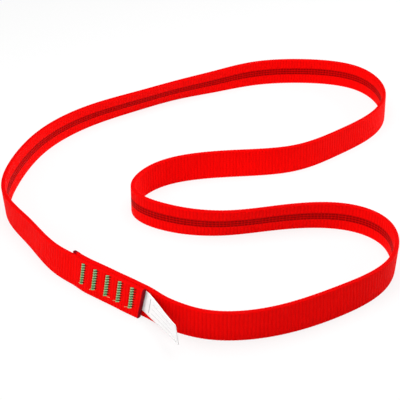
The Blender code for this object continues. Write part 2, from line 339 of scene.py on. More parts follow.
columns = np.linspace(0, STRIP, RIBS * COLUMNS_PER_RIB + 1)
s = np.repeat(columns, len(section))
h = np.tile(section[:, 0], len(columns))
n = np.tile(section[:, 1], len(columns))
flat = np.column_stack([s, h, n])

to_end = np.minimum(s, STRIP - s)
drawn_in = np.interp(to_end, MELT_DISTANCES, MELT_SHARES)
thinned = 1 - NUB_THINNING * (1 - smooth_step(s / NUB_TAPER))
near_face = np.abs(n) > half * FACE_SHARE
on_face = smooth_step((np.minimum(h, WIDTH - h) - FACE_START) / FACE_FADE) * near_face
ribs = -np.cos(2 * math.pi * s / RIB) * smooth_step(to_end / RIB_FADE)
sides = np.sign(n)
pressed = tack_press(s, h) * np.where(sides > 0, s > RING - LAP, s < 2 * LAP)
shaped_n = n * drawn_in * thinned + sides * (RIB_RELIEF * ribs * on_face - pressed)
scallops = SCALLOP_DEPTH * ribs * np.sign(h - WIDTH / 2) * (1 - on_face) * ~near_face
shaped_h = WIDTH / 2 + (h - WIDTH / 2) * (1 - (1 - drawn_in) * MELT_NARROWING) + scallops
webbing_points = strap_points(s + end_skew(s, h), shaped_h, shaped_n)
print(RIBS, "ribs", round(RIB / MM, 3), "mm apart:", len(webbing_points), "vertices")

# %% [markdown]
# The faces are quads between one column and the next, and each cut end is closed by quads between its two
# sides. The threads of the bar tacks are closed tubes as well, so one function makes the quads of both.

# %% Faces of a closed tube
def tube_faces(ring_count, around):
    """Quads of a closed tube, with the normals outwards: its sides, ring by ring, and then its two ends."""
    ring, point = np.meshgrid(np.arange(ring_count - 1), np.arange(around), indexing="ij")
    following = (point + 1) % around
    sides = [ring * around + point, (ring + 1) * around + point]
    sides += [(ring + 1) * around + following, ring * around + following]
    low = np.arange(around // 2 - 1)
    start = np.stack([low, low + 1, around - 2 - low, around - 1 - low], axis=-1)
    end = start[:, ::-1] + (ring_count - 1) * around
    return np.concatenate([np.stack(sides, axis=-1).reshape(-1, 4), start, end])


around = len(section)
webbing_faces = tube_faces(len(columns), around)
print(len(webbing_faces), "faces, from", webbing_faces[0], "to", webbing_faces[-1])

# %% Mesh of the webbing
def new_mesh(name, points, faces):
    """A smooth mesh from arrays of points and of quads."""
    mesh = bpy.data.meshes.new(name)
    mesh.from_pydata(points.tolist(), [], faces.tolist())
    mesh.polygons.foreach_set("use_smooth", [True] * len(mesh.polygons))
    mesh.update()
    return mesh


def keep_coordinates(mesh, name, values):
    """Keeps three numbers for each vertex, which a material can read."""
    attribute = mesh.attributes.new(name, "FLOAT_VECTOR", "POINT")
    attribute.data.foreach_set("vector", np.ravel(values))


webbing_mesh = new_mesh("webbing_strap", webbing_points, webbing_faces)
keep_coordinates(webbing_mesh, "flat", flat / MM)
print("webbing mesh:", len(webbing_mesh.vertices), "vertices,", len(webbing_mesh.polygons), "faces")

# %% [markdown]
# An exported model carries its materials as flat pictures, and a map says where each face lies in them.
# This one lays the strip out in five rows, one above the other, so that it fills a square. The two cut
# ends lie above them.

# %% Bake map of the webbing
ROWS = 5
MAP_SIZE = 250 * MM
MAP_MARGIN = 1.2 * MM
row_columns = (len(columns) - 1) // ROWS
column_step = STRIP / (len(columns) - 1)
girth = np.concatenate([[0], np.cumsum(section_steps)])
column, point = np.meshgrid(np.arange(len(columns) - 1), np.arange(around), indexing="ij")
row = column // row_columns
left = (column - row * row_columns) * column_step + MAP_MARGIN
right = left + column_step
low = girth[point] + row * (girth[-1] + MAP_MARGIN) + MAP_MARGIN
high = girth[point + 1] + row * (girth[-1] + MAP_MARGIN) + MAP_MARGIN
side_map = np.stack([left, low, right, low, right, high, left, high], axis=-1).reshape(-1, 2)
end_low = ROWS * (girth[-1] + MAP_MARGIN) + 2 * MAP_MARGIN
end_maps = []
for number, end_faces in enumerate(np.split(webbing_faces[column.size :], 2)):
    corners = flat[end_faces.ravel()]
    end_map = np.column_stack([corners[:, 1], corners[:, 2] + half])
    end_maps.append(end_map + (MAP_MARGIN + number * 2 * WIDTH, end_low))
bake_map = np.concatenate([side_map, *end_maps]) / MAP_SIZE
webbing_mesh.uv_layers.new(name="OFBake").data.foreach_set("uv", bake_map.ravel())
print("bake map reaches", bake_map.max(axis=0).round(3))

# %% Place the webbing
def new_piece(name, mesh, material=None):
    """An object in the scene, with its material where that is made already."""
    piece = bpy.data.objects.new(name, mesh)
    bpy.context.scene.collection.objects.link(piece)
    if material:
        mesh.materials.append(material)
    return piece


webbing = new_piece("webbing_strap", webbing_mesh)
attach(webbing, "sling")
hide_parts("webbing")
print("placed", webbing.name)

# %% [markdown]
# The webbing is also the sling's one free cord: a fixed length of something flexible. Its middle line is
# measured here, to give its true length.

# %% The webbing's length
LINE_POINTS = 260
middle_line = strap_points(np.linspace(0, STRIP, LINE_POINTS), WIDTH / 2, 0)
print("middle line:", round(float(np.linalg.norm(np.diff(middle_line, axis=0), axis=1).sum()), 4), "m")

# %% [markdown]
# ## Writing materials as sums
#
# A procedural material is arithmetic on coordinates. Drawn in the node editor it becomes a wall of Math
# nodes, so here one small class wraps a socket, and the usual operators add the Math nodes. A line such
# as 1 - mask * 0.3 then reads as what it does. Every other kind of node comes from one method, which sets
# the node's settings first and then fills its sockets.

# %% A socket that can be calculated with
class Wire:
    """A socket of the material being made. Operators on it add Math nodes."""

    tree = None

    def __init__(self, socket):
        self.socket = socket

    @classmethod
    def node(cls, kind, settings=None, sockets=None, output=0):
        """Adds any node: its settings first, then the values or wires of its sockets."""
        node = cls.tree.nodes.new(kind)
        for name, value in (settings or {}).items():
            setattr(node, name, value)
        for key, value in (sockets or {}).items():
            if isinstance(value, Wire):
                cls.tree.links.new(value.socket, node.inputs[key])
            else:
                node.inputs[key].default_value = value
        return cls(node.outputs[output])

    @classmethod
    def math(cls, operation, *values):
        """Adds a Math node on wires and numbers."""
        return cls.node("ShaderNodeMath", {"operation": operation}, dict(enumerate(values)))

    def __add__(self, other):
        return Wire.math("ADD", self, other)

    __radd__ = __add__

    def __sub__(self, other):
        return Wire.math("SUBTRACT", self, other)

    def __rsub__(self, other):
        return Wire.math("SUBTRACT", other, self)

    def __mul__(self, other):
        return Wire.math("MULTIPLY", self, other)

    __rmul__ = __mul__

    def __truediv__(self, other):
        return Wire.math("DIVIDE", self, other)

    def __rtruediv__(self, other):
        return Wire.math("DIVIDE", other, self)

    def __pow__(self, other):
        return Wire.math("POWER", self, other)

    def __rpow__(self, other):
        return Wire.math("POWER", other, self)

    def __abs__(self):
        return Wire.math("ABSOLUTE", self)


print("operators ready: + - * / ** and abs()")

# %% [markdown]
# A few helpers follow from it. A mask that steps softly from 0 to 1 is the commonest one: every edge of a
# pattern is such a step, a little wider than a pixel, so that it doesn't flicker. Colours are mixed with
# Mix nodes, because a Math node would turn them grey.

# %% Masks, colours and patterns
NOISE_SPREAD = 2.6


def soft_step(value, start, end):
    """0 below start, 1 above end, and smooth between them."""
    values = {"Value": value, "From Min": start, "From Max": end}
    return Wire.node("ShaderNodeMapRange", {"interpolation_type": "SMOOTHSTEP"}, values)


def band(value, low, high, soft):
    """1 between low and high, with soft edges."""
    return soft_step(value, low - soft, low + soft) * (1 - soft_step(value, high - soft, high + soft))


def mix_colour(factor, first, second):
    """The first colour where the factor is 0, the second where it is 1, and a mix between."""
    first, second = ((*c, 1) if isinstance(c, tuple) else c for c in (first, second))
    settings = {"data_type": "RGBA"}
    return Wire.node("ShaderNodeMix", settings, {0: factor, 6: first, 7: second}, output=2)


def kept_coordinates(name):
    """The three numbers that a mesh keeps for each of its points."""
    vector = Wire.node("ShaderNodeAttribute", {"attribute_name": name}, output=1)
    split = Wire.node("ShaderNodeSeparateXYZ", sockets={0: vector})
    return [Wire(socket) for socket in split.socket.node.outputs]


def noise(x, y, z, detail=2):
    """Smooth random variation, about -1 to 1, with one bump for each unit of its coordinates."""
    place = Wire.node("ShaderNodeCombineXYZ", sockets={0: x, 1: y, 2: z})
    sockets = {"Vector": place, "Scale": 1.0, "Detail": float(detail)}
    value = Wire.node("ShaderNodeTexNoise", sockets=sockets)
    return (value - 0.5) * NOISE_SPREAD


def waves(value, pitch):
    """1 at every whole pitch and 0 halfway between."""
    return Wire.math("COSINE", value * (2 * math.pi / pitch)) * 0.5 + 0.5


print("masks, colours and patterns ready, with noise spread", NOISE_SPREAD, "times")

# %% Start and end of a material
def new_material(name, **fixed):
    """Starts a material, with what is the same all over it set on the shader's own sockets."""
    material = bpy.data.materials.new(name)
    material.use_nodes = True
    Wire.tree = material.node_tree
    shader = material.node_tree.nodes["Principled BSDF"]
    for socket, value in fixed.items():
        shader.inputs[socket.replace("_", " ")].default_value = value
    return material, shader


def feed(shader, **wires):
    """Links wires to the shader's sockets."""
    for socket, wire in wires.items():
        Wire.tree.links.new(wire.socket, shader.inputs[socket.replace("_", " ")])


def raised(height):
    """A bumped normal from a height in metres."""
    return Wire.node("ShaderNodeBump", sockets={"Strength": 1.0, "Distance": 1.0, "Height": height})


print("materials can be started, fed and given relief")

# %% [markdown]
# ## The weave
#
# The red is a dyed polyamide: strong, with a soft sheen and hardly any gloss. A picture of real cloth
# could be wrapped round the strip, but it would stretch in the bends and blur close up. Patterns worked
# out from the strap coordinates do neither. The grooves between the ribs are darker with painted shade,
# because light that enters them leaves after several red bounces. The warp yarns lie 0.83 mm apart, and
# painted shade in the gaps between them shows as fine lines along the strip. Both selvedges get painted
# shade too. The cut ends were melted, so they are dark and smooth.

# %% Ribs, yarns, selvedges and melted ends
YARN = 0.83
YARN_SHIFT = 0.12
RIB_MM = RIB / MM
STRIP_MM = STRIP / MM
FACE_BAND = (0.45, 19.9, 0.25)
YARN_BAND = (1.2, 19.1, 0.4)
MELT_REACH = 0.7
NUB_TOP = (15.0, 19.0)
NUB_TOP_MELT = 0.9

webbing_material, shader = new_material(
    "red_webbing",
    Specular_IOR_Level=0.02,
    Sheen_Weight=0.04,
    Sheen_Roughness=0.5,
    Sheen_Tint=(1.0, 0.05, 0.03, 1),
)
along, up, out = kept_coordinates("flat")
groove = waves(along, RIB_MM) ** 2.5 * band(up, *FACE_BAND)
yarn_gap = waves(up + YARN_SHIFT, YARN) ** 3.0 * band(up, *YARN_BAND)
from_inner_end = along - MELT_REACH - soft_step(up, *NUB_TOP) * NUB_TOP_MELT
from_end = Wire.math("MINIMUM", from_inner_end, STRIP_MM - along)
melted = 1 - soft_step(from_end + noise(along * 0.9, up * 0.8, out) * 0.25, 0.5, 1.5)
# the rounded edges of the strip: painted shade darkens them, and they are a little rougher
selvedge = 1 - soft_step(abs(out), 0.85, 1.3)
print("weave started:", len(Wire.tree.nodes), "nodes")

# %% [markdown]
# On the inner face a stripe of dark yarns runs along the middle. It is darkest along three of its yarns,
# and because each of these dives under a weft thread at every groove, they read as three rows of dashes.

# %% Stripe on the inner face
MARKER_PITCH = 1.78
MARKER_MIDDLE = 10.35
STRIPE_BAND = (7.75, 13.3, 0.45)
STRIPE_BASE = 0.55
DASH_BASE = 0.6

inside = 1 - soft_step(out, -0.9, -0.5)
marker_rows = soft_step(waves(up - MARKER_MIDDLE, MARKER_PITCH), 0.1, 0.7)
stripe = (marker_rows * (1 - STRIPE_BASE) + STRIPE_BASE) * band(up, *STRIPE_BAND) * inside
dashes = soft_step(waves(along - RIB_MM / 2, RIB_MM), 0.0, 0.4)
marker = stripe * (dashes * (1 - DASH_BASE) + DASH_BASE)
stripe_width = round(STRIPE_BAND[1] - STRIPE_BAND[0], 2)
print("marker yarns", MARKER_PITCH, "mm apart, in a stripe", stripe_width, "mm wide")

# %% [markdown]
# At both sides of a bar tack the needle has left small holes between one stitch and the next, and the
# cloth under and around the stitches is pulled in. Both get painted shade. The holes could be cut into
# the mesh, but its quads are too coarse for them. So they are painted, dark with painted shade and a
# little bump: the material finds the nearest bar tack, measures how far a point lies beside it and up
# it, and counts the stitches up to there. The holes are stronger on the right, where the stitches
# stand apart.

# %% Holes and shade at the bar tacks
HOLE_PLACE = 1.45
HOLE_LENGTH = 1.3
RIGHT_PLACE = 0.50
RIGHT_LENGTH = 1.5
LEFT_STRENGTH = 0.3
HOLE_EDGE = (0.28, 0.52)
FIRST_GAP = -0.75
LAST_GAP = STITCHES - 1.25

lap_run = Wire.math("FLOORED_MODULO", along, RING / MM)
tack = Wire.math("ROUND", (lap_run - TACK_START / MM) / (TACK_PITCH / MM))
tack = Wire.math("MAXIMUM", Wire.math("MINIMUM", tack, TACKS - 1), 0)
beside = lap_run - TACK_START / MM - tack * (TACK_PITCH / MM) - (up - TACK_HEIGHT / MM) * TACK_TILT
slant = STITCH_PITCH * STITCH_RISE / STITCH_SPAN
foot = (TACK_HEIGHT - TACK_LENGTH / 2) / MM
stitch_foot = foot + (beside - STITCH_SHIFT / MM) * slant
climb = (up - stitch_foot) / (STITCH_PITCH / MM) - (STITCH_RISE / 2 + 0.5)
from_gap = (climb - Wire.math("ROUND", climb)) * (STITCH_PITCH / MM)
right_side = soft_step(beside, -0.01, 0.01)
hole_length = right_side * RIGHT_LENGTH + HOLE_LENGTH
beside_gap = (abs(beside) - HOLE_PLACE - right_side * RIGHT_PLACE) / hole_length
to_hole = Wire.math("SQRT", beside_gap * beside_gap + from_gap * from_gap)
sewn = band(climb, FIRST_GAP, LAST_GAP, 0.12)
hole_strength = right_side * (1 - LEFT_STRENGTH) + LEFT_STRENGTH
hole = (1 - soft_step(to_hole, *HOLE_EDGE)) * sewn * hole_strength
# under the stitches: green thread on the left, painted shade in the gaps on the right
underlay_and_shade = (1 - soft_step(abs(beside - 0.1), 1.20, 1.45)) * sewn
# painted shade on the cloth round the stitches, where it is pulled in
tack_shade = (1 - soft_step(abs(beside), 1.5, 2.9)) * sewn
print("holes follow", TACKS, "bar tacks, whose stitches climb", round(slant, 2), "mm for each mm across")

# %% [markdown]
# The masks are ready, and the colours go on in layers, as washes on paper would: the dye first, which is
# never quite even, and the melted ends last, because they cover everything else. Painted shade darkens
# the grooves, the yarn gaps, the selvedges, the holes and the cloth round the bar tacks. Between the
# threads of a bar tack hardly any red shows. On the left, where they crowd, they tint what lies under
# them green, and on the right the gaps between them are dark with painted shade.

# %% Colours of the webbing
DEEP_RED = (0.86, 0.0004, 0.0006)
BRIGHT_RED = (0.97, 0.0016, 0.0006)
PAINTED_SHADE_RED = (0.50, 0.0, 0.0003)
SELVEDGE_SHADE = (0.60, 0.0006, 0.001)
MARKER_RED = (0.11, 0.0, 0.0004)
HOLE_SHADE = (0.05, 0.008, 0.004)
CROWDED_GREEN = (0.14, 0.46, 0.17)
GAP_SHADE = (0.015, 0.025, 0.008)
MELTED_RED = (0.10, 0.003, 0.010)

dye = noise(along * 0.02, up * 0.06, out) * 0.5 + noise(along * 0.35, up * 1.5, out * 0.5) * 0.5
red = mix_colour(soft_step(dye, -1.2, 1.2), DEEP_RED, BRIGHT_RED)
# painted shade: darker in the grooves, in the gaps between the yarns and round the bar tacks
red = mix_colour(groove * 0.27 + yarn_gap * 0.12 + tack_shade * 0.18, red, PAINTED_SHADE_RED)
# painted shade along both selvedges
red = mix_colour(selvedge * 0.8, red, SELVEDGE_SHADE)
red = mix_colour(marker * 0.80, red, MARKER_RED)
# painted shade in the needle holes
red = mix_colour(hole * 0.95, red, HOLE_SHADE)
# under the stitches: crowded green thread on the left, painted shade between the stitches on the right
red = mix_colour(underlay_and_shade * 0.9, red, mix_colour(soft_step(beside, -1.3, -0.2), CROWDED_GREEN, GAP_SHADE))
red = mix_colour(melted * 0.85, red, MELTED_RED)
print("dye from", DEEP_RED, "to", BRIGHT_RED)

# %% Relief and gloss of the webbing
filaments = noise(along * 1.2, up * 9.0, out * 9.0, 1)
cloth_relief = groove * -0.05 + yarn_gap * -0.06 + filaments * 0.012 - hole * 0.3
relief = cloth_relief * (1 - melted) * MM
roughness = 0.62 + dye * 0.04 - melted * 0.28 + selvedge * 0.05
feed(shader, Base_Color=red, Roughness=roughness, Normal=raised(relief))
webbing_mesh.materials.append(webbing_material)
print("webbing material:", len(Wire.tree.nodes), "nodes")

# %% [markdown]
# ## Bar tacks
#
# A bar tack is a dense zigzag: the needle thread crosses to and fro over a band 3 mm wide and dives
# through both plies at every turn. The bobbin thread does the same on the other side. A ridged slab would
# do from afar, but the turns at both sides are what makes it read as sewn. So the thread itself is drawn,
# as a path in strap coordinates that dips into the webbing at each turn, and given a flattened oval
# section.
#
# Seen from outside the loop, nine stitches lie on top and rise to the right. Between them the thread
# returns to the left, lower in the cloth and less steeply.

# %% Zigzag of a bar tack
STITCH_STEPS = 8
STITCH_CROWN = 0.52 * MM
RETURN_CROWN = 0.32 * MM
DIVE = 0.30 * MM
ON_TOP, IN_RETURN, LOOSE = 1.0, 0.0, 2.0


def zigzag(face_sign):
    """A tack's thread: x along the strap, y up it and z out of its face, and how each point lies."""
    points, lying = [], []
    share = np.arange(STITCH_STEPS) / STITCH_STEPS
    crown = 1 - np.abs(2 * share - 1) ** 4
    for crossing in range(2 * STITCHES - 1):
        way, start, rise, arch, lies = 1, 0, STITCH_RISE, STITCH_CROWN, ON_TOP
        if crossing % 2:
            way, start, rise, arch, lies = -1, STITCH_RISE, 1 - STITCH_RISE, RETURN_CROWN, IN_RETURN
        x = (share - 0.5) * STITCH_SPAN * way + STITCH_SHIFT
        y = (crossing // 2 + start + share * rise) * STITCH_PITCH - TACK_LENGTH / 2
        points.append(np.column_stack([x, y, face_sign * (crown * arch - DIVE)]))
        lying.append(np.full(STITCH_STEPS, lies))
    return np.concatenate(points), np.concatenate(lying)


print("thread of a bar tack:", len(zigzag(1)[0]), "points")

# %% [markdown]
# A machine cuts its thread and leaves a loose end beside the foot of each tack. A loose end is a short
# path of its own, and lists give each tack's end its own length, slant and side, because equal ends would
# look made by a computer.

# %% Loose ends of the thread
TAIL_SLANTS = np.array([0.3, -0.5, 0.9, 0.1, -0.2]) * MM
TAIL_LENGTHS = np.array([0.8, 1.1, 2.9, 1.7, 2.4]) * MM
TAIL_SIDES = (-1, -1, 1, -1, -1)
TAIL_INSET = 0.3 * MM
TAIL_WAVE = 0.35 * MM
TAIL_ARCH = 0.42 * MM
TAIL_LIFT = 0.08 * MM


def tail(face_sign, number):
    """The thread's cut end, which lies loose beside the foot of the tack, and how each point lies."""
    share = np.linspace(0, 1, 10)
    x = STITCH_SPAN / 2 - TAIL_INSET + share * TAIL_LENGTHS[number]
    y = -TACK_LENGTH / 2 + TAIL_INSET + share * TAIL_SLANTS[number] + TAIL_WAVE * np.sin(share * 4)
    z = TAIL_ARCH * np.sin(share * math.pi * 0.8) + TAIL_LIFT
    points = np.column_stack([TAIL_SIDES[number] * x + STITCH_SHIFT, y, face_sign * z])
    return points, np.full(len(points), LOOSE)


print("loose ends reach", (TAIL_LENGTHS / MM).tolist(), "mm")

# %% Oval section round a path
SIDES = 8


def oval_thread(path, wide, thick, face_sign):
    """Rings of points round a path, wide in the plane of the webbing and thin across it."""
    tangent = np.gradient(path, axis=0)
    tangent /= np.linalg.norm(tangent, axis=1, keepdims=True)
    side = np.cross(tangent, (0, 0, face_sign))
    side /= np.linalg.norm(side, axis=1, keepdims=True)
    top = np.cross(side, tangent)
    angle = np.arange(SIDES) * 2 * math.pi / SIDES
    ring = side[:, None] * (np.cos(angle) * wide)[:, None] + top[:, None] * (np.sin(angle) * thick)[:, None]
    return path[:, None] + ring


print(SIDES, "points round a thread")

# %% [markdown]
# Thread is not one flat colour either. It is twisted from two strands, and painted shade in the grooves
# between them draws fine slanting lines round it. Its flanks get painted shade, so they are darker than
# its crown. Where it turns it gets a pale, yellowish painted highlight, and where it returns between the
# stitches it gets painted shade, most of all towards the right. The loose ends are orange.
#
# Each point of a thread keeps its distance along it, its angle round it and its distance beside the
# middle of the tack, which is negative on the left. It also keeps how it lies. The material is painted
# with these.

# %% Thread material
STRAND_TWIST = 0.55
DEEP_GREEN = (0.13, 0.58, 0.18)
PALE_GREEN = (0.40, 0.70, 0.36)
TURN_HIGHLIGHT = (0.54, 0.70, 0.40)
RETURN_SHADE = (0.03, 0.16, 0.045)
FLANK_SHADE = (0.015, 0.12, 0.03)
RIM_SHADE = (0.03, 0.04, 0.012)
TAIL_ORANGE = (0.95, 0.36, 0.16)

thread_material, shader = new_material(
    "mint_thread",
    Specular_IOR_Level=0.35,
    Sheen_Weight=0.1,
    Sheen_Roughness=0.4,
)
run, turn, aside = kept_coordinates("thread")
lies = kept_coordinates("lies")[0]
twist = waves(run + turn * STRAND_TWIST, STRAND_TWIST)
worn = soft_step(noise(run * 0.21, turn * 0.3, 3.0) + run * 0.025, -0.2, 1.5)
# painted shade on the flanks of the thread
flank_shade = abs(waves(turn - 0.25, 1.0) - 0.5) * -2.0 + 1.0
# painted highlight where the thread turns, strongest on the right
turn_highlight = soft_step(abs(aside - 0.2), 0.45, 1.15) * (soft_step(aside, -0.8, 0.8) * 0.6 + 0.35)
# painted shade where the thread returns between the stitches, strongest on the right
return_shade = (1 - soft_step(lies, 0.1, 0.9)) * (soft_step(aside, -1.1, 0.2) * 0.75 + 0.15)
left_rim = soft_step(aside * -1.0, 1.26, 1.46)
loose = soft_step(lies, 1.2, 1.8)

green = mix_colour(worn, DEEP_GREEN, PALE_GREEN)
# pale painted highlight at the turns
green = mix_colour(turn_highlight, green, TURN_HIGHLIGHT)
# painted shade on the returns
green = mix_colour(return_shade, green, RETURN_SHADE)
# painted shade on the flanks and in the grooves of the twist
green = mix_colour(flank_shade * 0.45 + (1 - twist) * 0.15, green, FLANK_SHADE)
green = mix_colour(left_rim * 0.4, green, RIM_SHADE)
green = mix_colour(loose * 0.85, green, TAIL_ORANGE)
feed(shader, Base_Color=green, Roughness=0.48 + worn * 0.12, Normal=raised(twist * 0.05 * MM))
print("thread material:", len(Wire.tree.nodes), "nodes")

# %% [markdown]
# Sewing is a loop over both faces and all five tacks. A tack's stitches and its loose end are laid out
# flat, set on the face that the tack has pressed in, and bent into the loop by the function that bent the
# webbing. Needle threads lie on the outside of the outer ply, and bobbin threads on the inside of the
# inner one. A shift in the distance along the thread gives each tack shades of its own.

# %% Sew the bar tacks
TACK_FACES = {"needle": (1, RING, half), "bobbin": (-1, 0, -half)}
STITCH_OVAL = (0.30 * MM, 0.22 * MM)
TAIL_OVAL = (0.15 * MM, 0.12 * MM)
LIFT_OFF = 0.02 * MM
SHADE_SHIFT = 7.3


def sewn_strand(path, oval, kind, number):
    """Points in the room round a path that is laid on the strap, and what each point keeps."""
    face_sign, start, surface = TACK_FACES[kind]
    x, y, z = oval_thread(path, *oval, face_sign).reshape(-1, 3).T
    height = TACK_HEIGHT + y
    place = start + TACK_START + number * TACK_PITCH + x + y * TACK_TILT
    lifted = surface + z - face_sign * (tack_press(place, height) - LIFT_OFF)
    reach = np.concatenate([[0], np.cumsum(np.linalg.norm(np.diff(path, axis=0), axis=1))])
    distance = np.repeat(reach / MM, SIDES) + number * SHADE_SHIFT
    angle = np.tile(np.arange(SIDES) / SIDES, len(path))
    kept = np.column_stack([distance, angle, np.repeat(path[:, 0], SIDES) / MM])
    return strap_points(place, height, lifted), kept


def tack_mesh(kind, number):
    """One bar tack's thread on one face: its stitches and its loose end."""
    face_sign = TACK_FACES[kind][0]
    points, kept, lying, faces, first = [], [], [], [], 0
    for (path, how), oval in ((zigzag(face_sign), STITCH_OVAL), (tail(face_sign, number), TAIL_OVAL)):
        placed, values = sewn_strand(path, oval, kind, number)
        points.append(placed)
        kept.append(values)
        lying.append(np.repeat(how, SIDES)[:, None] * (1, 0, 0))
        faces.append(tube_faces(len(path), SIDES) + first)
        first += len(placed)
    mesh = new_mesh(f"{kind}_stitches_{number + 1}", np.concatenate(points), np.concatenate(faces))
    keep_coordinates(mesh, "thread", np.concatenate(kept))
    keep_coordinates(mesh, "lies", np.concatenate(lying))
    return mesh


for kind in TACK_FACES:
    for number in range(TACKS):
        stitches_mesh = tack_mesh(kind, number)
        stitches = new_piece(stitches_mesh.name, stitches_mesh, thread_material)
        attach(stitches, "sling")
        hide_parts(f"{kind}_thread_{number + 1}")
print("sewn:", TACKS, "bar tacks on each face,", len(stitches_mesh.vertices), "vertices in each")

# %% [markdown]
# ## The label
#
# The label is one woven ribbon, folded double at its tip, with both ends caught between the plies. It
# leaves the mouth of the lap, swings out from the webbing and twists a little. A single sheet with
# thickness would be simpler, but the two leaves and the fold at the tip are what tells a folded label
# from a tag.
#
# The ribbon is laid out by its reach from the mouth: from its sewn-in end out to the tip, round the fold
# and back. Behind the mouth it follows the route between the plies, and in front of it the curve of the
# solid label. That curve is worked out at 600 places, and the places between them are found on straight
# lines.

# %% Line of the label
LABEL_WIDTH = 14 * MM
LABEL_LENGTH = 37 * MM
LABEL_HEIGHT = 11.7 * MM
SWING = math.radians(26)
TWIST = math.radians(13)
BEND = 7 * MM
SET_IN = 0.15 * MM
FOLD_ROOM = 1 * MM
MOUTH_LIP = 0.4 * MM
ROOT = LAP_START + LAP + CUT_SKEW * (LABEL_HEIGHT / WIDTH - 0.5) + MOUTH_LIP


def swing_at(reach):
    """How far the label has turned outwards at a reach from the mouth."""
    return SWING * smooth_step(reach / BEND + 0.5)


fine_reach = np.linspace(-LABEL_DEPTH, LABEL_LENGTH + FOLD_ROOM, 600)
stride = fine_reach[1] - fine_reach[0]
fine_along = np.cumsum(np.cos(swing_at(fine_reach))) * stride
fine_along -= np.interp(0, fine_reach, fine_along)
fine_out = np.cumsum(np.sin(swing_at(fine_reach))) * stride - SET_IN
print("label swings out by", round(fine_out[-1] / MM, 1), "mm")

# %% Label in the room
root_place, root_along, root_out, root_lean = (values[0] for values in on_route(np.array([ROOT])))
axis_along = np.array([*root_along, 0])
axis_up = np.array([*(root_out * math.sin(root_lean)), math.cos(root_lean)])
axis_out = np.cross(axis_along, axis_up)
root_middle = np.array([*root_place, 0]) + axis_up * LABEL_HEIGHT


def label_points(reach, across, lift):
    """Places of points in the label: reach from the mouth, across the ribbon, and lift off its middle."""
    reach, across, lift = (np.ravel(v).astype(float) for v in np.broadcast_arrays(reach, across, lift))
    turned = swing_at(reach)
    twisted = TWIST * smooth_step(reach / LABEL_LENGTH)
    skew = CUT_SKEW * across / WIDTH * (1 - np.clip(reach / LABEL_LENGTH, 0, 1))
    x = np.interp(reach, fine_reach, fine_along) + skew - across * np.sin(turned) * np.sin(twisted)
    x -= lift * np.sin(turned) * np.cos(twisted)
    y = across * np.cos(twisted) - lift * np.sin(twisted)
    z = np.interp(reach, fine_reach, fine_out) + across * np.cos(turned) * np.sin(twisted)
    z += lift * np.cos(turned) * np.cos(twisted)
    free = root_middle + x[:, None] * axis_along + y[:, None] * axis_up + z[:, None] * axis_out
    place, _, out_way, lean = on_route(ROOT + x)
    height = LABEL_HEIGHT + y
    sideways = height * np.sin(lean) + z * np.cos(lean)
    level = height * np.cos(lean) - z * np.sin(lean)
    held = np.column_stack([place + out_way * sideways[:, None], level])
    return np.where(x[:, None] > 0, free, held)


print("label leaves the lap", round(float(root_middle[2]) / MM, 1), "mm above the floor")

# %% [markdown]
# Seen from its edge, the ribbon is a line that goes out along one leaf, round the fold at the tip and
# back along the other. The leaves nearly touch, and open a little before the tip, because a fold never
# closes quite flat. The mesh has a layer of points on each side of that line, and the layers come closer
# at the ribbon's edges.

# %% Line of the folded ribbon
LEAF = 0.17 * MM
LEAF_GAP = 0.02 * MM
TIP_GAP = 0.16 * MM
TIP_GAP_START = 26 * MM
TIP_GAP_RUN = 11 * MM
HINGE_START = -0.5 * MM
HINGE_END = 4 * MM

sewn_reaches = np.linspace(-LABEL_DEPTH, HINGE_END, 12)[:-1]
reaches = np.concatenate([sewn_reaches, np.linspace(HINGE_END, LABEL_LENGTH, 24)])
fold_angles = np.linspace(math.pi / 2, -math.pi / 2, 9)[1:-1]
spread = LEAF / 2 + LEAF_GAP + TIP_GAP * smooth_step((reaches - TIP_GAP_START) / TIP_GAP_RUN)
fold = spread[-1]
line_reach = np.concatenate([reaches, LABEL_LENGTH + fold * np.cos(fold_angles), reaches[::-1]])
line_lift = np.concatenate([spread, fold * np.sin(fold_angles), -spread[::-1]])
line = np.column_stack([line_reach, line_lift])
direction = np.gradient(line, axis=0)
direction /= np.linalg.norm(direction, axis=1, keepdims=True)
outward = np.column_stack([-direction[:, 1], direction[:, 0]])
arc = np.concatenate([[0], np.cumsum(np.linalg.norm(np.diff(line, axis=0), axis=1))])
RIBBON = arc[-1]
print("ribbon:", round(RIBBON / MM, 1), "mm long, along", len(line), "points")

# %% Folded ribbon
THIN_EDGE = 0.5 * MM
THIN_SHARE = 0.55

across = np.linspace(-LABEL_WIDTH / 2, LABEL_WIDTH / 2, 13)
edge_places = [0, LABEL_WIDTH / 2 - THIN_EDGE, LABEL_WIDTH / 2]
edge_thin = np.interp(np.abs(across), edge_places, [1, 1, THIN_SHARE])
layers, ribbon_kept = [], []
for layer in (1, -1):
    shifted = line[:, None] + outward[:, None] * (layer * LEAF / 2 * edge_thin)[None, :, None]
    spots = np.broadcast_to(across, shifted.shape[:2])
    layers.append(label_points(shifted[..., 0], spots, shifted[..., 1]))
    distance = np.repeat(arc, len(across))
    ribbon_kept.append(np.column_stack([distance, np.ravel(spots), np.full(spots.size, layer * MM)]))


def slab_faces(rows, columns):
    """Quads of a thin slab whose two layers are grids of the same size."""
    grid = np.arange(rows * columns).reshape(rows, columns)
    top = np.stack([grid[:-1, :-1], grid[1:, :-1], grid[1:, 1:], grid[:-1, 1:]], axis=-1).reshape(-1, 4)
    under = top[:, ::-1] + rows * columns
    rim = np.concatenate([grid[:, 0], grid[-1, 1:], grid[-2::-1, -1], grid[0, -2:0:-1]])
    following = np.roll(rim, -1)
    sides = np.stack([following, rim, rim + rows * columns, following + rows * columns], axis=-1)
    return np.concatenate([top, under, sides])


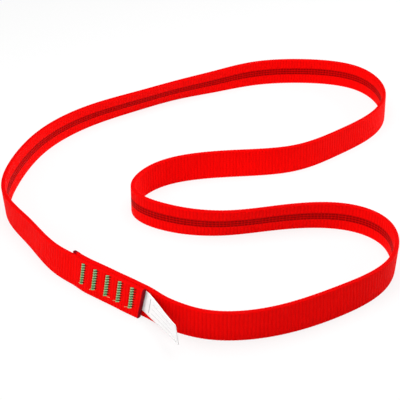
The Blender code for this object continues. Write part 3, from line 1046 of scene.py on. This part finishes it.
label_mesh = new_mesh("folded_label", np.concatenate(layers), slab_faces(len(line), len(across)))
keep_coordinates(label_mesh, "ribbon", np.concatenate(ribbon_kept) / MM)
print("folded label:", len(label_mesh.vertices), "vertices and", len(label_mesh.polygons), "faces")

# %% [markdown]
# The ribbon is woven from fine white yarns, about three to a millimetre, with a firmer band along both
# edges. It carries plain thin rules, as a blank form has. They are painted on the outside of the leaves
# only.

# %% Label material
WEFT_PITCH = 0.36
WARP_PITCH = 0.30
EDGE_BAND = (6.25, 6.45)
OUTER_RULES = (3.15, 3.32, 0.07)
OUTER_RULES_SHIFT = 0.4
INNER_RULE = (-0.55, -0.42, 0.07)
RULES_REACH = (8.5, 31.0, 0.1)
CROSS_RULE = (5.4, 6.0, 0.1)
CROSS_RULE_REACH = (-5.0, 5.0, 0.1)
DULL_WHITE = (0.90, 0.90, 0.895)
CLEAN_WHITE = (0.95, 0.95, 0.95)
YARN_GREY = (0.75, 0.75, 0.75)
RULE_GREY = (0.16, 0.17, 0.18)

label_material, shader = new_material("white_ribbon", Specular_IOR_Level=0.25, Sheen_Weight=0.08)
ribbon_run, wide, side = kept_coordinates("ribbon")
leaf_run = Wire.math("MINIMUM", ribbon_run, RIBBON / MM - ribbon_run) - LABEL_DEPTH / MM
weft = waves(ribbon_run, WEFT_PITCH)
warp = waves(wide, WARP_PITCH)
checks = weft * warp + (1 - weft) * (1 - warp)
edge_band = soft_step(abs(wide), *EDGE_BAND)
rules = band(abs(wide + OUTER_RULES_SHIFT), *OUTER_RULES) + band(wide, *INNER_RULE)
cross_rule = band(leaf_run, *CROSS_RULE) * band(wide, *CROSS_RULE_REACH)
rules = (rules * band(leaf_run, *RULES_REACH) + cross_rule) * soft_step(side, -0.2, 0.2)

soil = soft_step(noise(ribbon_run * 0.15, wide * 0.2, 1.0), -1.0, 1.0)
white = mix_colour(soil, DULL_WHITE, CLEAN_WHITE)
white = mix_colour(checks * 0.08 + edge_band * 0.05, white, YARN_GREY)
white = mix_colour(rules * 0.75, white, RULE_GREY)
unevenness = noise(ribbon_run * 0.3, wide * 0.3, 5.0)
ribbon_relief = (checks * 0.03 + edge_band * 0.03 + unevenness * 0.02) * MM
feed(shader, Base_Color=white, Roughness=0.72 + checks * 0.06, Normal=raised(ribbon_relief))
print("label material:", len(Wire.tree.nodes), "nodes")

# %% [markdown]
# The sewn-in end moves with the sling, and the free part swings on its own. Two separate pieces would
# come apart there, so the ribbon stays one piece, and the cell finds the two places between which it
# would bend: just behind the mouth and 4 mm in front of it.

# %% Place the label
label = new_piece("folded_label", label_mesh, label_material)
hinge_start = label_points(HINGE_START, 0, 0)[0]
hinge_end = label_points(HINGE_END, 0, 0)[0]
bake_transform(label)
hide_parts("label_tab", "label_flap")
print("label bends between", hinge_start.round(4), "and", hinge_end.round(4))

# %% [markdown]
# ## Floor and light
#
# The sling stands on a white sweep. A real sweep is a roll of paper in bright light. A brighter lamp
# would wash out the red, so the floor is plain white paint, and the camera sees it mixed with a white
# glow, as reflections do. The glow lights nothing, and the sling keeps its faint shadow.

# %% Floor
FLOOR_REACH = 4.0
FLOOR_PAINT = (0.90, 0.90, 0.90, 1)
GLOW_SHARE = 0.80

floor_material = bpy.data.materials.new("white_sweep")
floor_material.use_nodes = True
Wire.tree = floor_material.node_tree
Wire.tree.nodes.remove(Wire.tree.nodes["Principled BSDF"])
paint = Wire.node("ShaderNodeBsdfDiffuse", sockets={"Color": FLOOR_PAINT})
glow = Wire.node("ShaderNodeEmission", sockets={"Color": (1, 1, 1, 1), "Strength": 1.0})
camera_ray = Wire.node("ShaderNodeLightPath", output="Is Camera Ray")
glossy_ray = Wire.node("ShaderNodeLightPath", output="Is Glossy Ray")
floor_seen = Wire.math("MAXIMUM", camera_ray, glossy_ray)
mixed = Wire.node("ShaderNodeMixShader", sockets={0: floor_seen * GLOW_SHARE, 1: paint, 2: glow})
floor_output = Wire.tree.nodes["Material Output"]
Wire.tree.links.new(mixed.socket, floor_output.inputs["Surface"])

floor_points = np.array([(-1, -1, 0), (1, -1, 0), (1, 1, 0), (-1, 1, 0)]) * FLOOR_REACH
floor_mesh = new_mesh("floor", floor_points, np.array([[0, 1, 2, 3]]))
floor = new_piece("floor", floor_mesh, floor_material)
floor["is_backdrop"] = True
print("floor", 2 * FLOOR_REACH, "m wide")

# %% [markdown]
# Four square soft boxes light the sling: two large ones, on the left and in front, a smaller one low
# behind it on the right, and one overhead. Faces that turn towards a box are bright and the others a
# little darker, and that difference draws the curves of the loop. Their places and powers were fitted to
# the photograph's brightness round the loop. The world adds even light from all around, and looks white
# to the camera.

# %% Lamps
LAMPS = {
    "left_box": ((-0.94, -0.34, 0.55), 0.7, 4.3),
    "front_box": ((-0.26, -0.97, 0.55), 0.7, 2.2),
    "right_box": ((0.63, 0.30, 0.20), 0.4, 3.2),
    "top_box": ((0.0, 0.0, 0.5), 0.5, 2.6),
}
for name, (place, size, power) in LAMPS.items():
    lamp_data = bpy.data.lights.new(name, "AREA")
    lamp_data.shape = "SQUARE"
    lamp_data.size = size
    lamp_data.energy = power
    lamp = bpy.data.objects.new(name, lamp_data)
    lamp.location = place
    away = np.array(place) / np.linalg.norm(place)
    lamp.rotation_euler = (math.acos(away[2]), 0, math.atan2(away[1], away[0]) + math.pi / 2)
    bpy.context.scene.collection.objects.link(lamp)
print("lamps:", list(LAMPS))

# %% World
AMBIENT = 0.21

world = bpy.data.worlds.new("studio")
world.use_nodes = True
bpy.context.scene.world = world
Wire.tree = world.node_tree
background = Wire.tree.nodes["Background"]
outputs = ("Is Camera Ray", "Is Glossy Ray", "Is Transmission Ray")
rays = [Wire.node("ShaderNodeLightPath", output=output) for output in outputs]
world_seen = Wire.math("MINIMUM", rays[0] + rays[1] + rays[2], 1.0)
strength = world_seen * (1 - AMBIENT) + AMBIENT
Wire.tree.links.new(strength.socket, background.inputs["Strength"])
background.inputs["Color"].default_value = (1, 1, 1, 1)
bpy.context.scene.view_settings.view_transform = "Standard"
print("ambient light:", AMBIENT)

# %% [markdown]
# ## Measure
#
# The box round the dressed sling is printed, in millimetres. The cloth may stand only a little proud of
# the solids.

# %% Sizes
bpy.context.view_layer.update()
dressed_box = [[float(value) for value in corner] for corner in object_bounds()]
for low, high, name in zip(*dressed_box, "xyz"):
    print(name, "from", round(low / MM, 1), "to", round(high / MM, 1), "mm")
